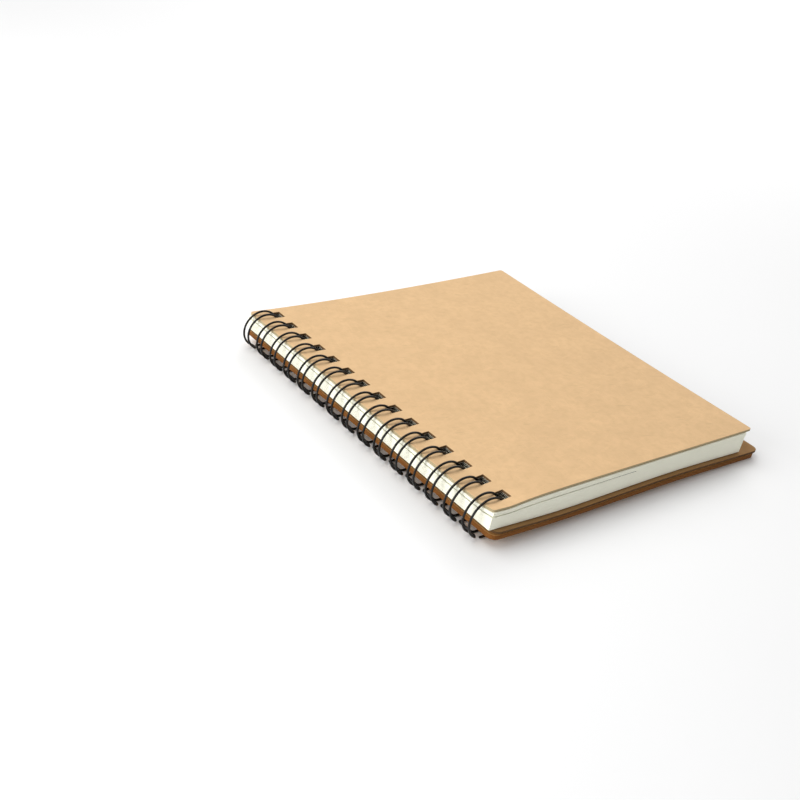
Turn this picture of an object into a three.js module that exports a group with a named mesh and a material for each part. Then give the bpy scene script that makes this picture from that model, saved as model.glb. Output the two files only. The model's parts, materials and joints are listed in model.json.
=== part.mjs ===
// A twin-loop bound sketchbook: two kraft board covers, a thin backing card, a block of drawing
// paper and one black wire that runs through fifteen holes along the spine.
// Millimetres, +Z up. The spine lies along Y on the -X side, and the leaves reach towards +X.
// Every leaf is a flat plate at its own distance from the wire's axis, and hinges about that axis.
import * as THREE from 'three';

// Spine and wire
const LOOPS = 15;
const LOOP_PITCH = 12.7; // two loops to the inch
const RING_RADIUS = 9.9; // to the wire's centreline
const WIRE_DIAMETER = 1.1;
const WIRE_SPREAD = 4.2; // between the two wires of one loop
const WIRE_SIDES = 6;
const ARC_START = -99; // degrees about the ring's axis: the seam lies low, just left of the bottom
const ARC_END = 237;
const ARC_STEP = 24;
const LINK_BEND = 1.0; // bend radius where a loop turns into the straight link to its neighbour

// Holes, measured from the ring's axis towards the fore-edge
const HOLE_NEAR = 4.5;
const HOLE_FAR = 10.75;
const HOLE_LENGTH = 5.8; // along the spine

// Covers
const COVER_LENGTH = 196; // along the spine
const FRONT_SPINE_EDGE = -4.5; // from the ring's axis
const FRONT_FORE_EDGE = 176;
const FRONT_THICKNESS = 1.3;
const BACK_SPINE_EDGE = -3.0;
const BACK_FORE_EDGE = 185.5;
const BACK_LENGTH = 200;
const BACK_THICKNESS = 2.4;
const CARD_SPINE_EDGE = -2.6; // as it turns, its edge passes just clear of the back cover
const CARD_THICKNESS = 1.2;
const FRONT_CORNER_RADIUS = 3;
const BACK_CORNER_RADIUS = 5;
const CORNER_STEPS = 4;

// Drawing paper
const SECTIONS = 16; // each is three sheets that lie together
const SECTION_PITCH = 0.45;
const SECTION_THICKNESS = 0.39;
const PAPER_SPINE_EDGE = -5.6;
const PAPER_FORE_EDGE = 170.5;
const PAPER_LENGTH = 195;

// Stack at the ring: distance of each underside from the ring's axis
const BACK_BOTTOM = -5.7;
const GAP_AT_SPINE = 1.4; // between the back cover and the backing card
const GAP_AT_FORE_EDGE = 1.0;
const PAPER_CLEARANCE = 0.06;
const FAN = 1.55; // degrees by which the loose paper opens towards the fore-edge

const KRAFT = { color: 0xdcb587, roughness: 0.85, metalness: 0 };
const CARD = { color: 0xb98f5d, roughness: 0.9, metalness: 0 };
const PAPER = { color: 0xf2f1e6, roughness: 0.9, metalness: 0 };
const WIRE = { color: 0x121212, roughness: 0.3, metalness: 0.6 };

const loopPosition = (loop) => (loop - (LOOPS - 1) / 2) * LOOP_PITCH;

// Returns a rectangle's outline in the leaf's plane, with rounded corners where radius is over 0.
function outline(x0, x1, length, radius) {
  const half = length / 2;
  const shape = new THREE.Shape();
  if (radius === 0) {
    shape.setFromPoints([
      new THREE.Vector2(x0, -half),
      new THREE.Vector2(x1, -half),
      new THREE.Vector2(x1, half),
      new THREE.Vector2(x0, half),
    ]);
    return shape;
  }
  const corners = [
    [x1 - radius, -half + radius, -Math.PI / 2],
    [x1 - radius, half - radius, 0],
    [x0 + radius, half - radius, Math.PI / 2],
    [x0 + radius, -half + radius, Math.PI],
  ];
  for (const [x, y, start] of corners) {
    shape.absarc(x, y, radius, start, start + Math.PI / 2, false);
  }
  return shape;
}

// Returns the row of rectangular holes for the wire.
function wireHoles() {
  const holes = [];
  for (let loop = 0; loop < LOOPS; loop += 1) {
    const y = loopPosition(loop);
    holes.push(new THREE.Path([
      new THREE.Vector2(HOLE_NEAR, y - HOLE_LENGTH / 2),
      new THREE.Vector2(HOLE_NEAR, y + HOLE_LENGTH / 2),
      new THREE.Vector2(HOLE_FAR, y + HOLE_LENGTH / 2),
      new THREE.Vector2(HOLE_FAR, y - HOLE_LENGTH / 2),
    ]));
  }
  return holes;
}

// Returns a punched plate whose underside is bottom above the ring's axis.
function leafGeometry({ x0, x1, length, radius, thickness, bottom }) {
  const shape = outline(x0, x1, length, radius);
  shape.holes = wireHoles();
  const geometry = new THREE.ExtrudeGeometry(shape, {
    depth: thickness,
    bevelEnabled: false,
    curveSegments: CORNER_STEPS,
  });
  geometry.translate(0, 0, bottom);
  return geometry;
}

// A curve through given points, with a section of the sweep at each of them.
class WirePath extends THREE.Curve {
  constructor(points) {
    super();
    this.points = points;
  }

  getPoint(t, target = new THREE.Vector3()) {
    const last = this.points.length - 1;
    const place = t * last;
    const index = Math.min(Math.floor(place + 1e-6), last - 1);
    return target.copy(this.points[index]).lerp(this.points[index + 1], place - index);
  }

  getPointAt(u, target) {
    return this.getPoint(u, target);
  }

  getTangentAt(u, target = new THREE.Vector3()) {
    const last = this.points.length - 1;
    const index = Math.round(u * last);
    const before = this.points[Math.max(index - 1, 0)];
    const after = this.points[Math.min(index + 1, last)];
    return target.copy(after).sub(before).normalize();
  }
}

// Returns the point on the ring's cylinder at an angle in degrees, y along the spine.
function ringPoint(degrees, y) {
  const angle = THREE.MathUtils.degToRad(degrees);
  return new THREE.Vector3(RING_RADIUS * Math.cos(angle), y, RING_RADIUS * Math.sin(angle));
}

// Returns the wire's centreline: out along one leg of a loop, round its tip, back along the
// other leg, and across a straight link to the next loop.
function wirePoints() {
  const points = [];
  const perMm = THREE.MathUtils.radToDeg(1 / RING_RADIUS);
  const half = WIRE_SPREAD / 2;
  const tipTurns = [45, 90, 135];
  for (let loop = 0; loop < LOOPS; loop += 1) {
    const y = loopPosition(loop);
    for (let angle = ARC_START; angle <= ARC_END; angle += ARC_STEP) {
      points.push(ringPoint(angle, y - half));
    }
    for (const turn of tipTurns) {
      const along = THREE.MathUtils.degToRad(turn);
      points.push(ringPoint(ARC_END + half * Math.sin(along) * perMm, y - half * Math.cos(along)));
    }
    for (let angle = ARC_END; angle >= ARC_START; angle -= ARC_STEP) {
      points.push(ringPoint(angle, y + half));
    }
    if (loop < LOOPS - 1) {
      const link = ARC_START - LINK_BEND * perMm;
      const cut = LINK_BEND * (1 - Math.SQRT1_2);
      const shoulder = ARC_START - (LINK_BEND - cut) * perMm;
      const next = loopPosition(loop + 1) - half;
      points.push(ringPoint(shoulder, y + half + cut));
      points.push(ringPoint(link, y + half + LINK_BEND));
      points.push(ringPoint(link, next - LINK_BEND));
      points.push(ringPoint(shoulder, next - cut));
    }
  }
  return points;
}

// Returns the wire as one swept solid.
function wireGeometry() {
  const section = new THREE.Shape();
  for (let side = 0; side < WIRE_SIDES; side += 1) {
    const angle = (side / WIRE_SIDES) * 2 * Math.PI;
    const x = (WIRE_DIAMETER / 2) * Math.cos(angle);
    const y = (WIRE_DIAMETER / 2) * Math.sin(angle);
    if (side === 0) section.moveTo(x, y);
    else section.lineTo(x, y);
  }
  const points = wirePoints();
  return new THREE.ExtrudeGeometry(section, {
    steps: points.length - 1,
    bevelEnabled: false,
    extrudePath: new WirePath(points),
  });
}

// Adds a named mesh to the book, turned about the ring's axis. Positive tilts lift the fore-edge.
function addPiece(name, geometry, finish, tilt) {
  const mesh = new THREE.Mesh(geometry, new THREE.MeshStandardMaterial(finish));
  mesh.name = name;
  mesh.rotation.y = -tilt;
  book.add(mesh);
}

const book = new THREE.Group();
const lowestWire = RING_RADIUS + WIRE_DIAMETER / 2;

// The book rests on the lowest points of its wire and on the back cover's fore-edge.
const reach = Math.hypot(BACK_FORE_EDGE, BACK_BOTTOM);
const backTilt = -Math.asin(lowestWire / reach) - Math.atan2(BACK_BOTTOM, BACK_FORE_EDGE);
const cardTilt = backTilt - (GAP_AT_SPINE - GAP_AT_FORE_EDGE) / BACK_FORE_EDGE;
const fanStep = THREE.MathUtils.degToRad(FAN) / SECTIONS;

const cardBottom = BACK_BOTTOM + BACK_THICKNESS + GAP_AT_SPINE;
const paperBottom = cardBottom + CARD_THICKNESS + PAPER_CLEARANCE;
const frontBottom = paperBottom + SECTIONS * SECTION_PITCH;

const backOutline = { x1: BACK_FORE_EDGE, length: BACK_LENGTH, radius: BACK_CORNER_RADIUS };

addPiece('twin_loop_wire', wireGeometry(), WIRE, 0);
addPiece(
  'back_cover',
  leafGeometry({
    ...backOutline,
    x0: BACK_SPINE_EDGE,
    thickness: BACK_THICKNESS,
    bottom: BACK_BOTTOM,
  }),
  KRAFT,
  backTilt,
);
addPiece(
  'backing_card',
  leafGeometry({
    ...backOutline,
    x0: CARD_SPINE_EDGE,
    thickness: CARD_THICKNESS,
    bottom: cardBottom,
  }),
  CARD,
  cardTilt,
);
for (let section = 0; section < SECTIONS; section += 1) {
  const geometry = leafGeometry({
    x0: PAPER_SPINE_EDGE,
    x1: PAPER_FORE_EDGE,
    length: PAPER_LENGTH,
    radius: 0,
    thickness: SECTION_THICKNESS,
    bottom: paperBottom + section * SECTION_PITCH,
  });
  const name = `sheets_${String(section + 1).padStart(2, '0')}`;
  addPiece(name, geometry, PAPER, cardTilt + (section + 1) * fanStep);
}
addPiece(
  'front_cover',
  leafGeometry({
    x0: FRONT_SPINE_EDGE,
    x1: FRONT_FORE_EDGE,
    length: COVER_LENGTH,
    radius: FRONT_CORNER_RADIUS,
    thickness: FRONT_THICKNESS,
    bottom: frontBottom,
  }),
  KRAFT,
  cardTilt + (SECTIONS + 1) * fanStep,
);

// Origin: under the middle of the book's box, on the surface that it rests on.
const bounds = new THREE.Box3().setFromObject(book, true);
const middle = bounds.getCenter(new THREE.Vector3());
book.position.set(-middle.x, -middle.y, -bounds.min.z);

export default book;
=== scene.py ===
import json
import math
import random

import bpy
from mathutils import Matrix, Vector


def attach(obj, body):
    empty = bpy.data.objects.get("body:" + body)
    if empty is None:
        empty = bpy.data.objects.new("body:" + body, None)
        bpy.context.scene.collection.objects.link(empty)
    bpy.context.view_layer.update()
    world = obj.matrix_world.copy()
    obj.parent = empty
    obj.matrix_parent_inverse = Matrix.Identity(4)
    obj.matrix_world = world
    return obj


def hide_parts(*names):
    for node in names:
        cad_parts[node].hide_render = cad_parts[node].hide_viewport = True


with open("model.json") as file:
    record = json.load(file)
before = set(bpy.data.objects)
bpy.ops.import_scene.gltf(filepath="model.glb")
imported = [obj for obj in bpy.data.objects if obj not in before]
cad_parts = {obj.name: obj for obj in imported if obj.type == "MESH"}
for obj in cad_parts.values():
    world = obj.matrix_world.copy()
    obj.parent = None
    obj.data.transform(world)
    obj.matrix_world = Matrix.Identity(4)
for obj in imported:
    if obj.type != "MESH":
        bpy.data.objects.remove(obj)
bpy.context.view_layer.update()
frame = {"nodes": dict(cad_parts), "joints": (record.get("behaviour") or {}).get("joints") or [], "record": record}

# A twin-loop bound sketchbook that lies on a pale floor: two kraft board covers, a thin backing
# card, 48 sheets of drawing paper and one black wire. Each piece replaces one CAD node.
MM = 0.001
random.seed(7)

# The middle of the rings, which every leaf turns about. Leaves are laid out in millimetres from
# it: x towards the fore-edge, y along the spine, d square to the leaf.
RING_X, _, RING_Z = (value / MM for value in frame["joints"][0]["pos_m"])
LOOPS = 15
LOOP_PITCH = 12.7
LOOP_Y = [(loop - (LOOPS - 1) / 2) * LOOP_PITCH for loop in range(LOOPS)]
RING_RADIUS = 9.9    # to the wire's centreline
WIRE_RADIUS = 0.55
WIRE_SIDES = 12
WIRE_SPREAD = 4.2    # between the two legs of one loop
ARC_START, ARC_END, ARC_STEP = -99, 237, 6  # a leg's degrees round the ring
TIP_STEP = 15        # degrees from point to point round a loop's tip
LINK_BEND = 1.0      # bend radius where a leg turns into the link to the next loop
LINK_STEP = 18       # degrees from point to point round that bend

# The holes, which all leaves share
HOLE_NEAR = 4.9
HOLE_FAR = 10.75
HOLE_LENGTH = 5.8

# Outlines: how far each visible leaf's edge lies inside its CAD node's, and its corner radius
BACK_INSET = 0.6     # at the fore-edge and both ends
FRONT_INSET_FORE = 1
FRONT_INSET_NEAR = 0.6
FRONT_INSET_FAR = 2
SHEET_INSET_SPINE = 0.7
SHEET_INSET_NEAR = -0.3
SHEET_INSET_FAR = 1.2
BOARD_CORNER = 4
FRONT_CORNER = 1.5
CORNER_STEPS = 4
BACK_WEAR, FRONT_WEAR, CARD_WEAR = 0.25, 0.15, 0.12  # the width of their edges' worn bevels

# The paper
SHEETS = 48
SHEETS_PER_NODE = 3
CLEARANCE = 0.06     # between the paper and the leaves above and below it
SHEET_FILL = 0.95    # a sheet's thickness as a part of the space from sheet to sheet
SLIP_X, SLIP_Y = 0.05, 0.03  # how unevenly the sheets lie, at most
TOP_BUNCH = 9        # the sheets that lie apart from the rest near the spine
BUNCH_SHIFT = 0.2    # how far the top bunch stands out at the near end
BUNCH_GAP = 0.4      # between the top bunch and the rest at the spine
BUNCH_CLOSES = 0.52  # the gap has closed at this part of the width
SHADE_LINE_SHEETS = 2      # so many at the block's foot, and just under the gap, lie back and have rims painted in shade, to make a dark line
SET_BACK = 1.2       # how far those sheets lie back from the block's face
PAINTED_SHADE_REACH = 0.45    # the painted shade under the gap ends at this part of the width

# How the pressed stack opens beyond the holes
BEND_START = 6.0
NEAR_SWELL = 2.4     # at the near end the paper swells at once
SWELL_LENGTH = 13.0
NEAR_RISE = 2.5      # and then rises evenly to the fore-edge
FAR_RISE = 6.9       # at the far end it opens late
FAR_POWER = 1.6
CORNER_LIFT = 1.5    # the near corner beside the first hole springs up a little
CORNER_FADE_X, CORNER_FADE_Y = 18, 5
COLUMNS = [14, 18, 23, 29, 36, 45, 56, 70, 86, 104, 122, 140, 158]  # where the leaves may bend

# The boards are not quite flat: they dip near the spine and stand proud further out
DIP_PLACE, DIP_WIDTH = 37, 39
CREST_PLACE, CREST_WIDTH = 125, 35
BACK_DIP, BACK_CREST = 0.9, 0.7
CARD_DIP, CARD_CREST = 1.5, 0.8

# Places in a leaf's list of materials. The third is a darker colour painted as shade, for hole walls and dark rims
FLAT, RIM, PAINTED_SHADE = range(3)

# The view: degrees round, up and about the line of sight, and the point looked at
VIEW_SIDE, VIEW_RISE, VIEW_ROLL = -43.32, 28.81, 11.42
VIEW_X, VIEW_Y = 25.65, 3.04  # from the middle of the rings
VIEW_DISTANCE = 558.87
VIEW_LENS = 51.545
FLOOR_SIDE, FLOOR_STEPS = 6.0, 12


def plate(node):
    """Measures a CAD leaf: its tilt, its two ends in x, half its length, and its two faces' d."""
    mesh = frame["nodes"][node].data
    normal = Vector((0, 0, 0))
    for face in mesh.polygons:
        if face.normal.z > 0.9:  # the upper face, whatever its tilt
            normal += face.normal * face.area
    tilt = math.atan2(-normal.x, normal.z)
    along, square, half = [], [], 0
    for vertex in mesh.vertices:
        x, z = vertex.co.x / MM - RING_X, vertex.co.z / MM - RING_Z
        along.append(x * math.cos(tilt) + z * math.sin(tilt))
        square.append(z * math.cos(tilt) - x * math.sin(tilt))
        half = max(half, abs(vertex.co.y) / MM)
    return {
        "tilt": tilt,
        "x0": min(along),
        "x1": max(along),
        "half": half,
        "low": min(square),
        "high": max(square),
    }


def merged(values, apart=0.05):
    """The values in order, without those that lie closer than apart to the one before."""
    kept = []
    for value in sorted(values):
        if not kept or value - kept[-1] > apart:
            kept.append(value)
    return kept


def rounded(x, y, x0, x1, y0, y1, radius):
    """Moves a point of the square-cornered grid so that the four corners come out round."""
    side_x = 1 if x > (x0 + x1) / 2 else -1
    side_y = 1 if y > (y0 + y1) / 2 else -1
    corner_x = (x1 if side_x > 0 else x0) - side_x * radius
    corner_y = (y1 if side_y > 0 else y0) - side_y * radius
    u, v = (x - corner_x) * side_x / radius, (y - corner_y) * side_y / radius
    if u <= 0 or v <= 0:
        return x, y
    return (
        corner_x + side_x * radius * u * math.sqrt(1 - v * v / 2),
        corner_y + side_y * radius * v * math.sqrt(1 - u * u / 2),
    )


class LeafMesh:
    """Closed punched leaves in one mesh. Hole walls take the material of painted shade, other rims RIM."""

    def __init__(self):
        self.points, self.faces, self.finishes = [], [], []

    def add(self, x0, x1, y0, y1, radius, tilt, low, high, shift=None, painted_shade_to=-math.inf):
        """low and high give the d of the leaf's two faces at (x, y). shift gives how far a point of
        the leaf has slipped in its own plane. Up to the x given by the last argument, the spine and
        near rims take the material of painted shade too."""
        steps = range(CORNER_STEPS + 1) if radius else [0]
        corner = [radius * step / CORNER_STEPS for step in steps]
        xs = merged(COLUMNS + [HOLE_NEAR, HOLE_FAR, x0, x1]
                    + [x0 + c for c in corner] + [x1 - c for c in corner])
        ys = [y0 + c for c in corner] + [y1 - c for c in corner]
        for y in LOOP_Y:
            ys += [y - HOLE_LENGTH / 2, y + HOLE_LENGTH / 2]
        ys = merged(ys)
        holes = {(xs.index(HOLE_NEAR), ys.index(y - HOLE_LENGTH / 2)) for y in LOOP_Y}
        first, rows = len(self.points), len(ys)
        cos, sin = math.cos(tilt), math.sin(tilt)
        for surface in (low, high):
            for x in xs:
                for y in ys:
                    px, py = rounded(x, y, x0, x1, y0, y1, radius) if radius else (x, y)
                    if shift:
                        dx, dy = shift(px, py)
                        px, py = px + dx, py + dy
                    d = surface(px, py)
                    self.points.append((
                        (RING_X + px * cos - d * sin) * MM,
                        py * MM,
                        (RING_Z + px * sin + d * cos) * MM,
                    ))
        layer = len(xs) * rows

        def at(i, j, top):
            return first + top * layer + i * rows + j

        def solid(i, j):
            return 0 <= i < len(xs) - 1 and 0 <= j < rows - 1 and (i, j) not in holes

        for i in range(len(xs) - 1):
            for j in range(rows - 1):
                if not solid(i, j):
                    continue
                corners = [(i, j), (i + 1, j), (i + 1, j + 1), (i, j + 1)]
                self.faces.append([at(a, b, 1) for a, b in corners])
                self.faces.append([at(a, b, 0) for a, b in reversed(corners)])
                self.finishes += [FLAT, FLAT]
                near, fore, far, spine = (i, j - 1), (i + 1, j), (i, j + 1), (i - 1, j)
                for side, neighbour in enumerate((near, fore, far, spine)):
                    if solid(*neighbour):
                        continue
                    a, b = corners[side], corners[(side + 1) % 4]
                    self.faces.append([at(*a, 0), at(*b, 0), at(*b, 1), at(*a, 1)])
                    in_view = neighbour in (near, spine)
                    # hole walls, and the near and spine rims up to the given x, take a darker colour painted as
                    # shade
                    painted_shade = neighbour in holes or (in_view and xs[i] < painted_shade_to)
                    self.finishes.append(PAINTED_SHADE if painted_shade else RIM)

    def build(self, name, materials, wear=0.0):
        """Makes the piece. wear is the width of the bevel along its edges."""
        mesh = bpy.data.meshes.new(name)
        mesh.from_pydata(self.points, [], self.faces)
        for material in materials:
            mesh.materials.append(material)
        mesh.polygons.foreach_set("material_index", self.finishes)
        piece = bpy.data.objects.new(name, mesh)
        bpy.context.scene.collection.objects.link(piece)
        if wear:
            modifier = piece.modifiers.new("worn_edges", "BEVEL")
            modifier.width = wear * MM
            modifier.segments = 2
            modifier.limit_method = "ANGLE"
            modifier.angle_limit = math.radians(50)
            apply_modifiers(piece)
        finish_shading(piece)
        return piece


def apply_modifiers(piece):
    """Puts the evaluated mesh in place of the piece's own."""
    shown = piece.evaluated_get(bpy.context.evaluated_depsgraph_get())
    mesh = bpy.data.meshes.new_from_object(shown)
    piece.modifiers.clear()
    piece.data = mesh


def finish_shading(piece):
    """Shades the piece smooth, apart from its edges of more than 35 degrees."""
    mesh = piece.data
    mesh.polygons.foreach_set("use_smooth", [True] * len(mesh.polygons))
    mesh.set_sharp_from_angle(angle=math.radians(35))


# Materials


class Nodes:
    """A short way to wire up a material's nodes."""

    def __init__(self, name):
        self.material = bpy.data.materials.new(name)
        self.material.use_nodes = True
        self.tree = self.material.node_tree
        self.shader = self.tree.nodes["Principled BSDF"]
        self.place = self.add("ShaderNodeTexCoord").outputs["Object"]

    def add(self, kind, **settings):
        """A new node with these settings."""
        node = self.tree.nodes.new(kind)
        for key, value in settings.items():
            setattr(node, key, value)
        return node

    def put(self, value, socket):
        """Links value to the socket if it is another node's output, or else sets it."""
        if isinstance(value, bpy.types.NodeSocket):
            self.tree.links.new(value, socket)
        else:
            socket.default_value = value

    def noise(self, scale, detail=2.0, roughness=0.5, stretch=None, turn=0.0):
        """Noise between 0 and 1. stretch scales each axis, and a factor under 1 draws the grain out
        along it. turn then turns the grain about Z, in degrees."""
        node = self.add("ShaderNodeTexNoise")
        node.inputs["Scale"].default_value = scale
        node.inputs["Detail"].default_value = detail
        node.inputs["Roughness"].default_value = roughness
        place = self.place
        if stretch:
            mapping = self.add("ShaderNodeMapping", vector_type="TEXTURE")
            mapping.inputs["Scale"].default_value = [1 / factor for factor in stretch]
            mapping.inputs["Rotation"].default_value = (0, 0, math.radians(turn))
            self.put(place, mapping.inputs["Vector"])
            place = mapping.outputs["Vector"]
        self.put(place, node.inputs["Vector"])
        return node.outputs["Fac"]

    def ramp(self, value, low, high, start=0.0, end=1.0):
        """Maps value from low..high to start..end, and holds it outside."""
        node = self.add("ShaderNodeMapRange")
        self.put(value, node.inputs["Value"])
        node.inputs["From Min"].default_value = low
        node.inputs["From Max"].default_value = high
        node.inputs["To Min"].default_value = start
        node.inputs["To Max"].default_value = end
        return node.outputs["Result"]

    def maths(self, operation, a, b):
        node = self.add("ShaderNodeMath", operation=operation)
        self.put(a, node.inputs[0])
        self.put(b, node.inputs[1])
        return node.outputs["Value"]

    def mix(self, amount, a, b):
        """Colour a where amount is 0, colour b where it is 1."""
        node = self.add("ShaderNodeMix", data_type="RGBA")
        # The node has sockets of the same name for each data type, so the colour's go by number.
        self.put(amount, node.inputs[0])
        self.put(a, node.inputs[6])
        self.put(b, node.inputs[7])
        return node.outputs[2]

    def bump(self, height, depth, strength):
        """Roughens the surface by height, which stands for up to depth millimetres."""
        node = self.add("ShaderNodeBump")
        node.inputs["Strength"].default_value = strength
        node.inputs["Distance"].default_value = depth * MM
        self.put(height, node.inputs["Height"])
        self.put(node.outputs["Normal"], self.shader.inputs["Normal"])

    def set(self, **inputs):
        """Sets or links the shader's inputs, named with _ for a space."""
        for key, value in inputs.items():
            self.put(value, self.shader.inputs[key.replace("_", " ")])


def srgb(red, green, blue):
    """A colour from 0-255 screen values to Blender's linear ones."""
    def linear(value):
        value /= 255
        return value / 12.92 if value <= 0.04045 else ((value + 0.055) / 1.055) ** 2.4
    return (linear(red), linear(green), linear(blue), 1.0)


def scaled(colour, factor):
    """The colour made lighter or darker."""
    return tuple(channel * factor for channel in colour[:3]) + (1.0,)


def kraft(name, colour, contrast=1.0):
    """Uncoated kraft board: cloudy, with long pale and dark fibres, dark flecks and a fine tooth."""
    n = Nodes(name)
    cloud = n.noise(60, detail=3, roughness=0.55)
    blotch = n.noise(260, detail=4, roughness=0.6)
    darker, lighter = scaled(colour, 1 - 0.05 * contrast), scaled(colour, 1 + 0.045 * contrast)
    tone = n.mix(n.ramp(cloud, 0.3, 0.7), darker, lighter)
    tone = n.mix(n.ramp(blotch, 0.42, 0.66, 0, 0.5 * contrast), tone, scaled(colour, 0.89))
    fibres = None
    for turn, fineness in ((12, 1.0), (-38, 1.3), (74, 1.15)):
        grain = n.noise(420 * fineness, detail=1, stretch=(0.22, 1.6, 1.6), turn=turn)
        streak = n.ramp(grain, 0.60, 0.74)
        fibres = streak if fibres is None else n.maths("MAXIMUM", fibres, streak)
    tone = n.mix(n.maths("MULTIPLY", fibres, 0.22 * contrast), tone, scaled(colour, 1.14))
    dark = n.ramp(n.noise(520, detail=1, stretch=(0.22, 1.7, 1.7), turn=-17), 0.66, 0.78)
    tone = n.mix(n.maths("MULTIPLY", dark, 0.35 * contrast), tone, scaled(colour, 0.74))
    fleck = n.ramp(n.noise(1700, detail=1), 0.70, 0.78)
    tone = n.mix(n.maths("MULTIPLY", fleck, 0.35 * contrast), tone, scaled(colour, 0.55))
    n.set(Base_Color=tone)
    n.set(Roughness=n.ramp(blotch, 0.3, 0.7, 0.78, 0.92))
    n.shader.inputs["Specular IOR Level"].default_value = 0.25
    tooth = n.maths("ADD", n.noise(2600, detail=2), n.maths("MULTIPLY", fibres, 0.6))
    n.bump(tooth, 0.05, 0.5)
    return n.material


def board_edge(name, colour):
    """The cut edge of board: layers that run along the edge, with an open grain."""
    n = Nodes(name)
    layers = n.noise(900, detail=2, stretch=(0.05, 0.05, 4.0))
    grain = n.noise(1500, detail=3)
    tone = n.mix(n.ramp(layers, 0.35, 0.65), scaled(colour, 0.84), scaled(colour, 1.08))
    tone = n.mix(n.ramp(grain, 0.55, 0.75, 0, 0.4), tone, scaled(colour, 0.7))
    n.set(Base_Color=tone, Roughness=n.ramp(grain, 0.3, 0.7, 0.85, 0.95))
    n.shader.inputs["Specular IOR Level"].default_value = 0.2
    n.bump(n.maths("ADD", layers, grain), 0.08, 0.6)
    return n.material


def paper(name, colour, edge=False):
    """Drawing paper: a faint cloudy tone and a fine tooth. A cut edge shows faint layers too."""
    n = Nodes(name)
    cloud = n.noise(90, detail=3)
    grain = n.noise(1400, detail=2)
    tone = n.mix(n.ramp(cloud, 0.3, 0.7), scaled(colour, 0.975), colour)
    tone = n.mix(n.ramp(grain, 0.5, 0.8, 0, 0.25), tone, scaled(colour, 0.93))
    if edge:
        layers = n.noise(700, detail=1, stretch=(0.02, 0.02, 5.0))
        tone = n.mix(n.ramp(layers, 0.4, 0.7, 0, 0.25), tone, scaled(colour, 0.94))
    n.set(Base_Color=tone, Roughness=n.ramp(grain, 0.3, 0.7, 0.82, 0.95))
    n.shader.inputs["Specular IOR Level"].default_value = 0.2
    n.bump(n.noise(2200, detail=3), 0.01, 0.3)
    return n.material


def coated_wire(name):
    """Wire with a black nylon coating: glossy, with slight waviness and rubbed patches."""
    n = Nodes(name)
    wear = n.noise(300, detail=3)
    n.set(Base_Color=n.mix(n.ramp(wear, 0.4, 0.75), srgb(9, 8, 7), srgb(22, 18, 14)))
    n.set(Roughness=n.ramp(wear, 0.3, 0.7, 0.26, 0.42))
    n.shader.inputs["Specular IOR Level"].default_value = 0.3
    n.bump(n.noise(700, detail=2), 0.02, 0.3)
    return n.material


def pale_floor(name):
    """A matt, nearly white floor."""
    n = Nodes(name)
    cloud = n.noise(3, detail=2)
    n.set(Base_Color=n.mix(cloud, srgb(243, 243, 243), srgb(246, 246, 246)))
    n.set(Roughness=n.ramp(cloud, 0.3, 0.7, 0.85, 0.9))
    return n.material


# The materials of each kind of leaf, in the order FLAT, RIM, then the darker one painted as shade
KRAFT = srgb(217, 181, 136)
PAPER = srgb(248, 247, 230)
front_finish = [
    kraft("kraft_board", KRAFT),
    board_edge("kraft_board_edge", srgb(176, 160, 126)),
    # hole walls darker than the cut edge, as painted shade
    board_edge("kraft_board_hole_painted_shade", srgb(120, 92, 62)),
]
# the back board's face, edge and hole walls are darker kraft than the front's, as painted shade under the paper
back_finish = [
    kraft("kraft_board_inside_painted_shade", srgb(188, 142, 86), 0.8),
    board_edge("kraft_board_back_edge_painted_shade", srgb(128, 80, 34)),
    board_edge("kraft_board_back_hole_painted_shade", srgb(90, 60, 30)),
]
# the card is a darker kraft of its own, darkened further as painted shade under the paper, its edge and hole walls
# darker still as painted shade
card_finish = [
    kraft("kraft_card", srgb(156, 118, 74), 0.8),
    board_edge("kraft_card_edge_painted_shade", srgb(96, 70, 42)),
    board_edge("kraft_card_hole_painted_shade", srgb(80, 52, 28)),
]
sheet_finish = [
    paper("drawing_paper", PAPER),
    paper("drawing_paper_edge", PAPER, edge=True),
    # dark brown for the paper's hole walls and for the rims along the dark lines, painted as shade
    board_edge("drawing_paper_painted_shade", srgb(44, 34, 26)),
]


# Boards and sheets

front = plate("front_cover")
card = plate("backing_card")
sheet = plate("sheets_01")
stack_low = card["high"] + CLEARANCE
stack_high = front["low"] - CLEARANCE


def lift(x, y):
    """How far the front cover stands above where it would lie on a pressed stack."""
    beyond = max(x - BEND_START, 0)
    part = beyond / (front["x1"] - BEND_START)
    far = (y + front["half"]) / (2 * front["half"])
    swell = NEAR_SWELL * (1 - far) ** 2 * (1 - math.exp(-beyond / SWELL_LENGTH))
    from_near = max(y + front["half"], 0)
    corner = CORNER_LIFT * math.exp(-from_near / CORNER_FADE_Y - max(x, 0) / CORNER_FADE_X)
    return swell + corner + (1 - far) * NEAR_RISE * part + far * FAR_RISE * part ** FAR_POWER


def sag(x, dip, crest):
    """The slight wave in a board: dip below its plane near the spine, crest above it beyond."""
    low = dip * math.exp(-((x - DIP_PLACE) / DIP_WIDTH) ** 2)
    return crest * math.exp(-((x - CREST_PLACE) / CREST_WIDTH) ** 2) - low


def back_sag(x):
    return sag(x, BACK_DIP, BACK_CREST)


def card_sag(x):
    return sag(x, CARD_DIP, CARD_CREST)


def openness(x):
    """1 where the top bunch lies apart at the spine, 0 from where it has closed."""
    closing = min(max(x / (BUNCH_CLOSES * front["x1"]), 0), 1)
    return 1 - closing * closing * (3 - 2 * closing)


def stack_level(count, x, y):
    """The height of sheet number count's underside, with the top bunch held apart at the spine."""
    gap = BUNCH_GAP * openness(x)
    low = stack_low + card_sag(x)
    pitch = (stack_high + lift(x, y) - low - gap) / SHEETS
    return low + count * pitch + (gap if count >= SHEETS - TOP_BUNCH else 0)


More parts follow.
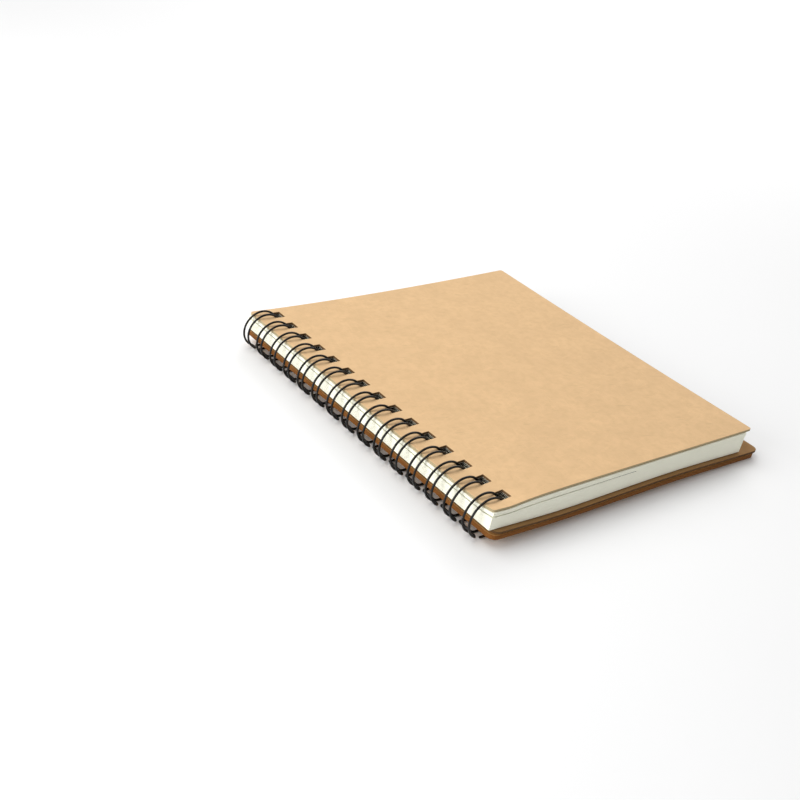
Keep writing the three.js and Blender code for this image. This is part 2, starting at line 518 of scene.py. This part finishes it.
def stiff_board(name, node, body, bend, inset, materials, wear):
    """A board that is bent only across the spine, in place of the CAD's flat one."""
    size = plate(node)
    half = size["half"] - inset
    leaf = LeafMesh()
    leaf.add(size["x0"], size["x1"] - inset, -half, half, BOARD_CORNER, size["tilt"],
             lambda x, y: size["low"] + bend(x), lambda x, y: size["high"] + bend(x))
    piece = leaf.build(name, materials, wear)
    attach(piece, body)
    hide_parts(node)


def front_cover():
    """The front cover, which follows the paper below it."""
    leaf = LeafMesh()
    leaf.add(front["x0"], front["x1"] - FRONT_INSET_FORE,
             -front["half"] + FRONT_INSET_NEAR, front["half"] - FRONT_INSET_FAR,
             FRONT_CORNER, card["tilt"],
             lambda x, y: front["low"] + lift(x, y), lambda x, y: front["high"] + lift(x, y))
    front_board = leaf.build("front_board", front_finish, FRONT_WEAR)
    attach(front_board, "front")
    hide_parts("front_cover")


def add_sheet(leaves, count):
    """Adds sheet number count, from 0 at the bottom. The sheets lie a little uneven, and those at
    the block's foot and just under the gap lie back from the block's two visible faces, with their
    rims on those faces painted in shade."""
    spine_edge = sheet["x0"] + SHEET_INSET_SPINE
    near_edge = -sheet["half"] + SHEET_INSET_NEAR
    far_edge = sheet["half"] - SHEET_INSET_FAR
    slip_x = random.uniform(-SLIP_X, SLIP_X)
    slip_y = random.uniform(-SLIP_Y, SLIP_Y)
    in_bunch = count >= SHEETS - TOP_BUNCH
    at_foot = count < SHADE_LINE_SHEETS
    under_gap = 0 < SHEETS - TOP_BUNCH - count <= SHADE_LINE_SHEETS

    def shift(x, y):
        back = 0
        if at_foot:
            back = SET_BACK
        elif under_gap:
            back = SET_BACK * openness(x)
        out = BUNCH_SHIFT if in_bunch else 0
        along = slip_x + (back if x <= spine_edge else 0)
        across = slip_y + (back - out if y <= near_edge else 0)
        return along, across

    def low(x, y):
        return stack_level(count, x, y)

    def high(x, y):
        return low(x, y) + SHEET_FILL * (stack_level(1, x, y) - stack_level(0, x, y))

    # how far along x this sheet's near and spine rims are painted in shade
    painted_shade_to = -math.inf
    if at_foot:
        painted_shade_to = sheet["x1"]
    elif under_gap:
        painted_shade_to = PAINTED_SHADE_REACH * sheet["x1"]
    leaves.add(spine_edge, sheet["x1"], near_edge, far_edge, 0,
               card["tilt"], low, high, shift, painted_shade_to)


def paper_block():
    """The sheets, each a leaf of its own. Those of one CAD node are one piece."""
    bodies = frame["record"]["behaviour"]["bodies"]
    body_of = {node: body for body, nodes in bodies.items() for node in nodes}
    for section in range(SHEETS // SHEETS_PER_NODE):
        leaves = LeafMesh()
        for count in range(section * SHEETS_PER_NODE, (section + 1) * SHEETS_PER_NODE):
            add_sheet(leaves, count)
        node = f"sheets_{section + 1:02d}"
        piece = leaves.build(f"paper_{section + 1:02d}", sheet_finish)
        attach(piece, body_of[node])
        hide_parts(node)


stiff_board("back_board", "back_cover", "back",
            back_sag, BACK_INSET, back_finish, BACK_WEAR)
stiff_board("thin_card", "backing_card", "card",
            card_sag, 0, card_finish, CARD_WEAR)
front_cover()
paper_block()


# The wire


def ring_point(degrees, y):
    """A point of the rings' cylinder, in metres. Degrees start at the fore-edge side and go up."""
    angle = math.radians(degrees)
    x = RING_X + RING_RADIUS * math.cos(angle)
    z = RING_Z + RING_RADIUS * math.sin(angle)
    return Vector((x, y, z)) * MM


def wire_line():
    """The wire's centreline: along one leg of a loop, round its tip, back, and on to the next."""
    points = []
    per_mm = math.degrees(1 / RING_RADIUS)
    half = WIRE_SPREAD / 2
    arc = range(ARC_START, ARC_END + 1, ARC_STEP)
    bend = [math.radians(turn) for turn in range(LINK_STEP, 91, LINK_STEP)]
    for loop, y in enumerate(LOOP_Y):
        points += [ring_point(angle, y - half) for angle in arc]
        for turn in range(TIP_STEP, 180, TIP_STEP):
            along = math.radians(turn)
            angle = ARC_END + half * math.sin(along) * per_mm
            points.append(ring_point(angle, y - half * math.cos(along)))
        points += [ring_point(angle, y + half) for angle in reversed(arc)]
        if loop == LOOPS - 1:
            break
        following = LOOP_Y[loop + 1] - half
        for turn in bend:
            angle = ARC_START - LINK_BEND * math.sin(turn) * per_mm
            points.append(ring_point(angle, y + half + LINK_BEND * (1 - math.cos(turn))))
        for turn in reversed(bend):
            angle = ARC_START - LINK_BEND * math.sin(turn) * per_mm
            points.append(ring_point(angle, following - LINK_BEND * (1 - math.cos(turn))))
    return points


def swept_tube(name, points, radius, sides):
    """A closed round tube along the points. Its section twists as little as possible on the way."""
    count = len(points)
    tangents = []
    for index in range(count):
        before, after = points[max(index - 1, 0)], points[min(index + 1, count - 1)]
        tangents.append((after - before).normalized())
    normal = tangents[0].orthogonal().normalized()
    vertices, faces = [], []
    for index, (point, tangent) in enumerate(zip(points, tangents)):
        normal = (normal - tangent * normal.dot(tangent)).normalized()
        across = tangent.cross(normal)
        for side in range(sides):
            angle = 2 * math.pi * side / sides
            vertices.append(point + (normal * math.cos(angle) + across * math.sin(angle)) * radius)
        if index:
            start, last = index * sides, (index - 1) * sides
            for side in range(sides):
                other = (side + 1) % sides
                faces.append([last + side, last + other, start + other, start + side])
    faces.append(list(reversed(range(sides))))
    faces.append([(count - 1) * sides + side for side in range(sides)])
    mesh = bpy.data.meshes.new(name)
    mesh.from_pydata(vertices, [], faces)
    tube = bpy.data.objects.new(name, mesh)
    bpy.context.scene.collection.objects.link(tube)
    finish_shading(tube)
    return tube


wire = swept_tube("wire_binding", wire_line(), WIRE_RADIUS * MM, WIRE_SIDES)
wire.data.materials.append(coated_wire("black_wire"))
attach(wire, "back")
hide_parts("twin_loop_wire")


# Floor, light and camera


def flat_floor():
    """A square floor whose middle is under the book."""
    mesh = bpy.data.meshes.new("floor")
    rows = FLOOR_STEPS + 1
    line = [-FLOOR_SIDE / 2 + FLOOR_SIDE * step / FLOOR_STEPS for step in range(rows)]
    points = [(x, y, 0) for x in line for y in line]
    faces = []
    for i in range(FLOOR_STEPS):
        for j in range(FLOOR_STEPS):
            first = i * rows + j
            faces.append([first, first + rows, first + rows + 1, first + 1])
    mesh.from_pydata(points, [], faces)
    mesh.materials.append(pale_floor("pale_floor"))
    floor = bpy.data.objects.new("floor", mesh)
    bpy.context.scene.collection.objects.link(floor)


def area_light(name, place, target, size, power):
    """A white softbox at place that faces target. Its power is in watts."""
    data = bpy.data.lights.new(name, "AREA")
    data.shape = "RECTANGLE"
    data.size, data.size_y = size
    data.energy = power
    light = bpy.data.objects.new(name, data)
    bpy.context.scene.collection.objects.link(light)
    light.location = place
    light.rotation_euler = (Vector(target) - Vector(place)).to_track_quat("-Z", "Y").to_euler()


def white_world(strength):
    """Even light from all round."""
    world = bpy.data.worlds.new("studio")
    bpy.context.scene.world = world
    world.use_nodes = True
    background = world.node_tree.nodes["Background"]
    background.inputs["Color"].default_value = (1, 1, 1, 1)
    background.inputs["Strength"].default_value = strength


def camera():
    """Looks down on the near end of the spine, turned a little about the line of sight."""
    side, rise, roll = (math.radians(angle) for angle in (VIEW_SIDE, VIEW_RISE, VIEW_ROLL))
    back = Vector((
        math.sin(side) * math.cos(rise),
        -math.cos(side) * math.cos(rise),
        math.sin(rise),
    ))
    right = (-back).cross(Vector((0, 0, 1))).normalized()
    up = right.cross(-back)
    turned_right = right * math.cos(roll) + up * math.sin(roll)
    turned_up = up * math.cos(roll) - right * math.sin(roll)
    target = Vector((RING_X + VIEW_X, VIEW_Y, RING_Z)) * MM
    data = bpy.data.cameras.new("camera")
    data.sensor_width = 36
    data.lens = VIEW_LENS
    data.clip_start = 0.01
    shown = bpy.data.objects.new("camera", data)
    bpy.context.scene.collection.objects.link(shown)
    axes = Matrix((turned_right, turned_up, back)).transposed()
    shown.matrix_world = Matrix.Translation(target + back * VIEW_DISTANCE * MM) @ axes.to_4x4()
    bpy.context.scene.camera = shown


flat_floor()
area_light("overhead", (-0.42, 0.25, 0.8), (0, 0, 0), (0.7, 0.7), 4.3)
area_light("left", (-1.1, 0.1, 0.35), (0, 0, 0), (0.8, 0.6), 7.5)
area_light("background", (1.3, 1.0, 1.0), (1.1, 0.7, 0), (1.4, 1.4), 18.0)
white_world(0.42)
bpy.context.scene.view_settings.view_transform = "Standard"
camera()
